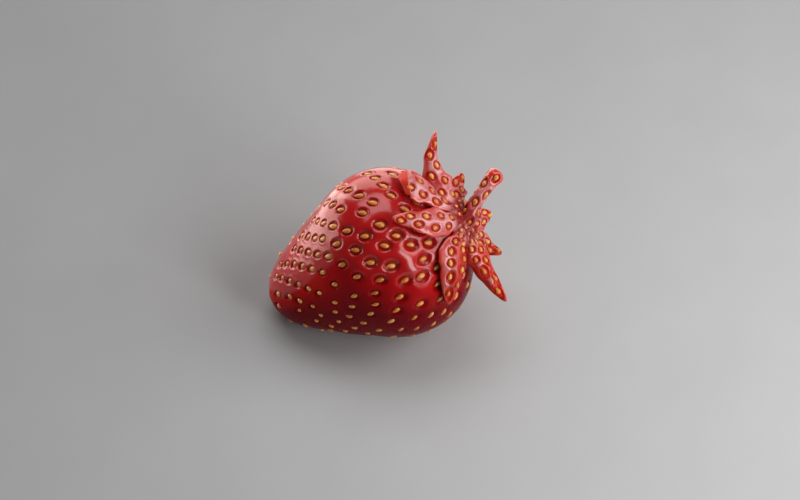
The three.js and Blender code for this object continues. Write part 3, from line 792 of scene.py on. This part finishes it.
def leaf_station(leaf, line, length, share, behind):
    """A ring round a leaf: its points and their attributes. behind is how far into the hub."""
    turns = full_turn(LEAF_SECTION)
    across = np.cos(turns)
    level = np.sign(np.sin(turns)) * np.abs(np.sin(turns)) ** LEAF_SQUARENESS
    upper = smoothstep(*LEAF_FACE_RANGE, level)
    centre, forward, sideways, face = leaf_frame(leaf, line, share)
    centre = centre - behind * (LEAF_ROOT_REACH * forward + LEAF_ROOT_SINK * face)
    offset = leaf_offset(leaf, length, share, across)
    gaps = [((share - seed_share) * length, offset - leaf_offset(leaf, length, seed_share, side))
            for seed_share, side in leaf_seeds(leaf)]
    depth, inside = small_pits(gaps)
    fold, margin = leaf_drop(leaf, share, offset)
    past = max(0.0, (share - LEAF_TIP_ROUND_FROM) / (1 - LEAF_TIP_ROUND_FROM))
    rounded = math.sqrt(max(0.0, 1 - past ** 2))
    half = leaf_thickness(share) / 2 * (LEAF_TIP_THINNING + (1 - LEAF_TIP_THINNING) * rounded)
    height = level * half - fold + depth * upper
    offset = offset * (leaf.square + (1 - leaf.square) * rounded)
    ahead = leaf.lean * across * smoothstep(*LEAF_LEAN_RANGE, share)
    points = (centre + offset[:, None] * sideways + height[:, None] * face
              + ahead[:, None] * forward)
    pit = inside * upper
    foot = np.full(LEAF_SECTION, 1 - smoothstep(*LEAF_FOOT_RANGE, share))
    end = smoothstep(leaf.red_from, leaf.red_by, share)
    grown = smoothstep(*LEAF_SHADE_RED_RANGE, share)
    shaded_side = abs(leaf.shaded_side) * grown * smoothstep(*LEAF_SIDE_RANGE, across * leaf.shaded_side)
    shaded = leaf.side_shade * shaded_side
    # Painted shade in the pits, at the foot, on the underside, rolled margin and shaded side and in a
    # red face; a painted glow of light through the thin edges and end
    return points, {
        "pit": pit,
        "thin": greatest(np.abs(across) ** LEAF_EDGE_GLOW_POWER, shaded_side, end, leaf.shade_red * grown),
        "under": greatest(1 - smoothstep(*LEAF_UNDER_RANGE, level), margin, shaded),
        "foot": foot,
        "dull": greatest(pit, margin, foot, leaf.bent_end * end, LEAF_SHADE_DULLNESS * shaded),
    }


def make_leaf(number, leaf, material):
    line = calyx_points(leaf.line)
    length = line_length(line)
    stations = []
    for station in range(-LEAF_ROOT_STATIONS, LEAF_STATIONS + 1):
        share = max(0.0, station / LEAF_STATIONS)
        behind = max(0.0, -station / LEAF_ROOT_STATIONS)
        stations.append(leaf_station(leaf, line, length, share, behind))
    piece = tube(f"leaf_fine_{number}", stations, material)
    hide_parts(f"sepal_{number}")
    return piece


def leaf_seed_places(leaf):
    line = calyx_points(leaf.line)
    length = line_length(line)
    places = []
    for share, across in leaf_seeds(leaf):
        centre, forward, sideways, face = leaf_frame(leaf, line, share)
        offset = leaf_offset(leaf, length, share, across)
        height = leaf_thickness(share) / 2 - leaf_drop(leaf, share, offset)[0] + SMALL_SEED_RISE
        centre = centre + offset * sideways + height * face
        places.append(small_seed(centre, forward, sideways, face))
    return places


# Stem

def stem_radius(share):
    return between(STEM_RADII, share)


def stem_frame(line, share):
    """The stem's middle there, then forward, sideways and upward."""
    forward = curve_forward(line, share)
    sideways = squared(direction(math.pi / 2, (STEM_LINE[0][2] + 90) * DEG), forward)
    return curve_point(line, share), forward, sideways, np.cross(sideways, forward)


def stem_seeds():
    """The stem's seeds, as shares of its length and turns about it."""
    shares = np.linspace(STEM_FIRST_SEED, STEM_LAST_SEED, STEM_SEEDS)
    return [(share, STEM_SEED_TURN + number * GOLDEN_ANGLE) for number, share in enumerate(shares)]


def stem_station(line, length, share, past):
    """A ring round the stem: its points and their attributes. past is how far round its end."""
    turns = full_turn(STEM_SECTION)
    end_radius = stem_radius(1.0)
    centre, forward, sideways, upward = stem_frame(line, share)
    push = STEM_END_LENGTH * end_radius * math.sin(past * math.pi / 2)
    size = stem_radius(share) * max(STEM_END_SIZE, math.cos(past * math.pi / 2))
    gaps = []
    for seed_share, seed_turn in stem_seeds():
        turn = np.mod(turns - seed_turn + math.pi, 2 * math.pi) - math.pi
        gaps.append(((share - seed_share) * length + push, turn * stem_radius(seed_share)))
    depth, inside = small_pits(gaps)
    reach = (size + depth * (size / end_radius if past else 1.0))[:, None]
    ring = np.cos(turns)[:, None] * sideways - np.sin(turns)[:, None] * upward
    foot = np.full(STEM_SECTION, STEM_FOOT_SHADE * (1 - smoothstep(*STEM_FOOT_RANGE, share)))
    redness = STEM_REDNESS + (1 - STEM_REDNESS) * smoothstep(*STEM_END_RED_RANGE, share)
    # Painted shade in the pits and at the foot; the stem is red, more so towards its end
    return centre + forward * push + reach * ring, {
        "pit": inside,
        "foot": foot,
        "thin": np.full(STEM_SECTION, redness),
        "dull": greatest(inside, STEM_FOOT_DULLNESS * foot),
    }


def make_stem(material):
    line = calyx_points(STEM_LINE)
    length = line_length(line)
    stations = []
    for station in range(STEM_STATIONS + STEM_END_STATIONS + 1):
        share = min(1.0, station / STEM_STATIONS)
        past = max(0, station - STEM_STATIONS) / STEM_END_STATIONS
        stations.append(stem_station(line, length, share, past))
    piece = tube("stem_fine", stations, material)
    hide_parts("stem")
    return piece


def stem_seed_places():
    line = calyx_points(STEM_LINE)
    places = []
    for share, turn in stem_seeds():
        centre, forward, sideways, upward = stem_frame(line, share)
        normal = sideways * math.cos(turn) - upward * math.sin(turn)
        centre = centre + normal * (stem_radius(share) + SMALL_SEED_RISE)
        places.append(small_seed(centre, forward, np.cross(normal, forward), normal))
    return places


# Hub

def hub_surface(share, around):
    """A point of the hub, share of the way out along its profile, and how far from a crease it is."""
    out, along = (between(values, share) for values in zip(*HUB_PROFILE))
    uneven = HUB_CREASE_UNEVENNESS * np.sin(2 * around)
    fold = np.abs(np.sin(HUB_CREASES / 2 * around + uneven)) ** HUB_CREASE_SHARPNESS
    crease = HUB_CREASE_DEPTH * (fold - HUB_CREASE_LEVEL) * smoothstep(*HUB_CREASE_RANGE, share)
    round_it = np.sin(HUB_LUMPS * around + HUB_LUMP_SLANT * share)
    lump = HUB_LUMP_HEIGHT * round_it * np.sin(HUB_LUMP_WAVE * share)
    return calyx_point(along + crease + lump, out, around), fold


def make_hub(material):
    stations = []
    for ring in range(HUB_RINGS):
        share = np.full(HUB_SIDES, ring / (HUB_RINGS - 1))
        points, fold = hub_surface(share, full_turn(HUB_SIDES))
        # Painted shade over the hub, strongest in its creases
        hub_shade = HUB_SHADE + (1 - HUB_SHADE) * (1 - fold)
        stations.append((points, {"foot": hub_shade, "dull": hub_shade}))
    piece = tube("hub_fine", stations, material, inward=True)
    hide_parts("stem")
    return piece


def hub_seed_places():
    places = []
    nearest, farthest = HUB_SEED_OUT
    last = len(HUB_PROFILE) - 1
    outs = [point[0] for point in HUB_PROFILE[:-1]]
    normal = np.array([1.0, 0, 0])
    for number in range(HUB_SEEDS):
        around = number * GOLDEN_ANGLE + HUB_SEED_START
        out = nearest + (farthest - nearest) * DRAW.uniform()
        share = np.interp(out, outs, np.arange(last) / last)
        centre = hub_surface(np.array([share]), np.array([around]))[0][0]
        ahead = np.array([0, math.sin(around), math.cos(around)])
        places.append(small_seed(centre - HUB_SEED_SINK * normal, ahead, np.cross(normal, ahead),
                                 normal, HUB_SEED_SIZE))
    return places


# Materials

class Nodes:
    """The nodes of one material. A value can be a number, a colour or a socket."""

    def __init__(self, name):
        self.material = bpy.data.materials.new(name)
        self.material.use_nodes = True
        self.tree = self.material.node_tree
        self.shader = self.tree.nodes["Principled BSDF"]

    def feed(self, into, value):
        if isinstance(value, bpy.types.NodeSocket):
            self.tree.links.new(value, into)
        else:
            into.default_value = value

    def set(self, **values):
        """Give the shader's inputs their values."""
        for name, value in values.items():
            self.feed(self.shader.inputs[name.replace("_", " ")], value)

    def add(self, kind, inputs, **settings):
        node = self.tree.nodes.new(kind)
        for name, value in settings.items():
            setattr(node, name, value)
        for name, value in inputs.items():
            self.feed(node.inputs[name], value)
        return node

    def attribute(self, name):
        return self.add("ShaderNodeAttribute", {}, attribute_name=name).outputs["Fac"]

    def noise(self, scale, detail):
        """Noise in object space. scale is in lumps per metre."""
        place = self.add("ShaderNodeTexCoord", {}).outputs["Object"]
        inputs = {"Vector": place, "Scale": scale, "Detail": detail, "Roughness": NOISE_ROUGHNESS}
        return self.add("ShaderNodeTexNoise", inputs).outputs["Fac"]

    def scaled(self, value, span, result):
        """A value within span, mapped in a straight line onto result."""
        inputs = {"Value": value, "From Min": span[0], "From Max": span[1],
                  "To Min": result[0], "To Max": result[1]}
        return self.add("ShaderNodeMapRange", inputs).outputs["Result"]

    def ramp(self, value, stops):
        """A colour from stops of (place, colour)."""
        node = self.add("ShaderNodeValToRGB", {"Fac": value})
        ramp = node.color_ramp
        while len(ramp.elements) < len(stops):
            ramp.elements.new(0.5)
        for element, (place, colour) in zip(ramp.elements, stops):
            element.position = place
            element.color = (*colour, 1)
        return node.outputs["Color"]

    def mix(self, share, first, second, blend="MIX"):
        """The first colour, mixed with this share of the second."""
        node = self.add("ShaderNodeMix", {}, data_type="RGBA", blend_type=blend)
        for name, kind, value in (("Factor", "VALUE", share), ("A", "RGBA", first),
                                  ("B", "RGBA", second)):
            into = [s for s in node.inputs if s.name == name and s.type == kind and s.enabled][0]
            self.feed(into, (*value, 1) if isinstance(value, tuple) else value)
        return [s for s in node.outputs if s.type == "RGBA" and s.enabled][0]

    def roughness(self, scale, low, high):
        return self.scaled(self.noise(scale, 2), NOISE_SPAN, (low, high))

    def bumps(self, scale, detail, strength, distance):
        """A normal with fine bumps. distance is in metres."""
        inputs = {"Height": self.noise(scale, detail), "Strength": strength, "Distance": distance}
        return self.add("ShaderNodeBump", inputs).outputs["Normal"]


def flesh_material():
    """Red skin, darker with painted shade in its pits and below, with a gloss where it is glazed."""
    nodes = Nodes("strawberry_flesh")
    skin = nodes.ramp(nodes.noise(scale=150, detail=2), FLESH_SKIN)
    # Painted shade where the skin faces down
    under = nodes.scaled(nodes.attribute("upward"), span=(0.25, 1), result=(0.92, 0))
    skin = nodes.mix(under, skin, FLESH_SHADE_BELOW)
    # Painted shade in the pits
    pit = nodes.attribute("pit")
    inside = nodes.scaled(pit, span=(0, 0.5), result=(0, 0.8))
    nodes.set(Base_Color=nodes.mix(inside, skin, nodes.ramp(pit, FLESH_PIT_SHADE)),
              Roughness=nodes.roughness(scale=3000, low=0.2, high=0.3),
              Normal=nodes.bumps(scale=900, detail=3, strength=0.05, distance=0.0002),
              Coat_Weight=nodes.scaled(nodes.attribute("glaze"), span=(0, 1), result=(0.06, 1)),
              Subsurface_Weight=0.2, Subsurface_Radius=(1.0, 0.06, 0.03), Subsurface_Scale=0.0013,
              IOR=1.08, Coat_Roughness=0.18, Coat_IOR=1.6)
    return nodes.material


def calyx_material():
    """Mottled skin, partly its own pale tone and partly a painted sheen; red at thin edges and tips
    with a painted glow, on shaded faces and sides with painted shade, and on the stem; darker with
    painted shade below, in its pits and at its foot.
    """
    nodes = Nodes("strawberry_calyx")
    # Skin that is partly a painted sheen, then red that is partly a painted glow and partly painted
    # shade, then painted shade below, in the pits and at the foot
    colour = nodes.ramp(nodes.noise(scale=260, detail=2), CALYX_SKIN_AND_SHEEN)
    pit = nodes.attribute("pit")
    for mask, span, most, tint in (
            (nodes.attribute("thin"), (0.2, 0.8), 0.92, CALYX_RED_GLOW_AND_SHADE),
            (nodes.attribute("under"), (0, 1), 0.95, CALYX_SHADE),
            (pit, (0.05, 0.35), 0.95, nodes.ramp(pit, CALYX_PIT_SHADE)),
            (nodes.attribute("foot"), (0, 1), 0.95, CALYX_FOOT_SHADE)):
        colour = nodes.mix(nodes.scaled(mask, span, (0, most)), colour, tint)
    nodes.set(Base_Color=colour,
              Roughness=nodes.roughness(scale=3000, low=0.3, high=0.4),
              Normal=nodes.bumps(scale=1200, detail=3, strength=0.12, distance=0.0002),
              Coat_Weight=nodes.scaled(nodes.attribute("dull"), span=(0, 0.8), result=(1, 0.12)),
              Subsurface_Weight=0.2, Subsurface_Radius=(1.0, 0.12, 0.05), Subsurface_Scale=0.0008,
              IOR=1.2, Coat_Roughness=0.16, Coat_IOR=1.7)
    return nodes.material


def seed_material():
    """Gold, of a different tint on each seed."""
    nodes = Nodes("strawberry_seed")
    gold = nodes.ramp(nodes.attribute("tint"), SEED_GOLD)
    mottle = nodes.ramp(nodes.noise(scale=2500, detail=3), SEED_MOTTLE)
    nodes.set(Base_Color=nodes.mix(1.0, gold, mottle, "MULTIPLY"),
              Roughness=nodes.roughness(scale=4000, low=0.22, high=0.4),
              Normal=nodes.bumps(scale=5000, detail=2, strength=0.2, distance=0.0001),
              Subsurface_Weight=0.15, Subsurface_Radius=(1.0, 0.45, 0.12), Subsurface_Scale=0.0004,
              IOR=1.45, Coat_Weight=0.6, Coat_Roughness=0.15)
    return nodes.material


def floor_material():
    nodes = Nodes("floor")
    grain = nodes.noise(scale=60, detail=2)
    nodes.set(Base_Color=nodes.ramp(grain, FLOOR_GREY), Roughness=0.6)
    return nodes.material


# Studio

def make_floor():
    corners = FLOOR_HALF_WIDTH * np.array([[-1, -1, 0], [1, -1, 0], [1, 1, 0], [-1, 1, 0]])
    corners[:, 2] = -FLOOR_DROP
    floor = new_object("floor", corners, [(0, 1, 2, 3)], floor_material(), {})


def add_light(colour, name, place, size, power, target=LIGHT_TARGET, turn=0.0):
    light = bpy.data.lights.new(name, "AREA")
    light.shape = "RECTANGLE"
    light.size, light.size_y = size[0] * MM, size[1] * MM
    light.energy = power
    light.color = colour
    box = bpy.data.objects.new(name, light)
    box.visible_camera = False
    box.location = Vector(place) * MM
    ahead = (Vector(target) * MM - box.location).normalized()
    box.rotation_euler = ahead.to_track_quat("-Z", "Y").to_euler()
    box.rotation_euler.rotate_axis("Z", turn)
    bpy.context.scene.collection.objects.link(box)
    return box


def make_lights(pieces):
    lit = bpy.data.collections.new("lit_by_low_boxes")
    for piece in pieces:
        lit.objects.link(piece)
    for box in LOW_BOXES:
        add_light(WARM, *box).light_linking.receiver_collection = lit
    for box in ROOM_BOXES:
        add_light(WHITE, *box)
    world = bpy.data.worlds.new("studio")
    world.use_nodes = True
    background = world.node_tree.nodes["Background"]
    background.inputs["Color"].default_value = (*WHITE, 1)
    background.inputs["Strength"].default_value = WORLD_STRENGTH
    bpy.context.scene.world = world


def make_camera():
    cos_e, sin_e = math.cos(VIEW_ELEVATION), math.sin(VIEW_ELEVATION)
    cos_a, sin_a = math.cos(VIEW_AZIMUTH), math.sin(VIEW_AZIMUTH)
    towards = Vector((sin_a * cos_e, -cos_a * cos_e, sin_e))
    right = Vector((cos_a, sin_a, 0))
    up = towards.cross(right)
    centre = Vector((0, 0, CENTRE_HEIGHT))
    camera = bpy.data.objects.new("camera", bpy.data.cameras.new("camera"))
    camera.data.lens = FOCAL_LENGTH
    camera.data.sensor_width = SENSOR_WIDTH
    camera.data.sensor_fit = "HORIZONTAL"
    place = centre + right * VIEW_RIGHT + up * VIEW_UP + towards * VIEW_DISTANCE
    turn = Matrix((right, up, towards)).transposed().to_4x4()
    camera.matrix_world = Matrix.Translation(place * MM) @ turn
    camera.data.clip_start = 0.01
    bpy.context.scene.collection.objects.link(camera)
    bpy.context.scene.camera = camera
    bpy.context.scene.view_settings.view_transform = "Standard"


def make_pieces():
    """All pieces of the berry. Their order counts, because the seeds draw random numbers."""
    flesh, calyx, seed = flesh_material(), calyx_material(), seed_material()
    pieces = [make_flesh(flesh), make_stem(calyx), make_hub(calyx)]
    pieces += [make_leaf(number, leaf, calyx) for number, leaf in enumerate(LEAVES, start=1)]
    pieces.append(make_achenes("flesh_achenes", flesh_seed_places(), seed, ["fruit"]))
    places = stem_seed_places() + hub_seed_places()
    places += [place for leaf in LEAVES for place in leaf_seed_places(leaf)]
    pieces.append(make_achenes("calyx_achenes", places, seed, ["stem"]))
    return pieces


make_camera()
make_floor()
PIECES = make_pieces()
for piece in PIECES:
    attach(piece, "root")
make_lights(PIECES)
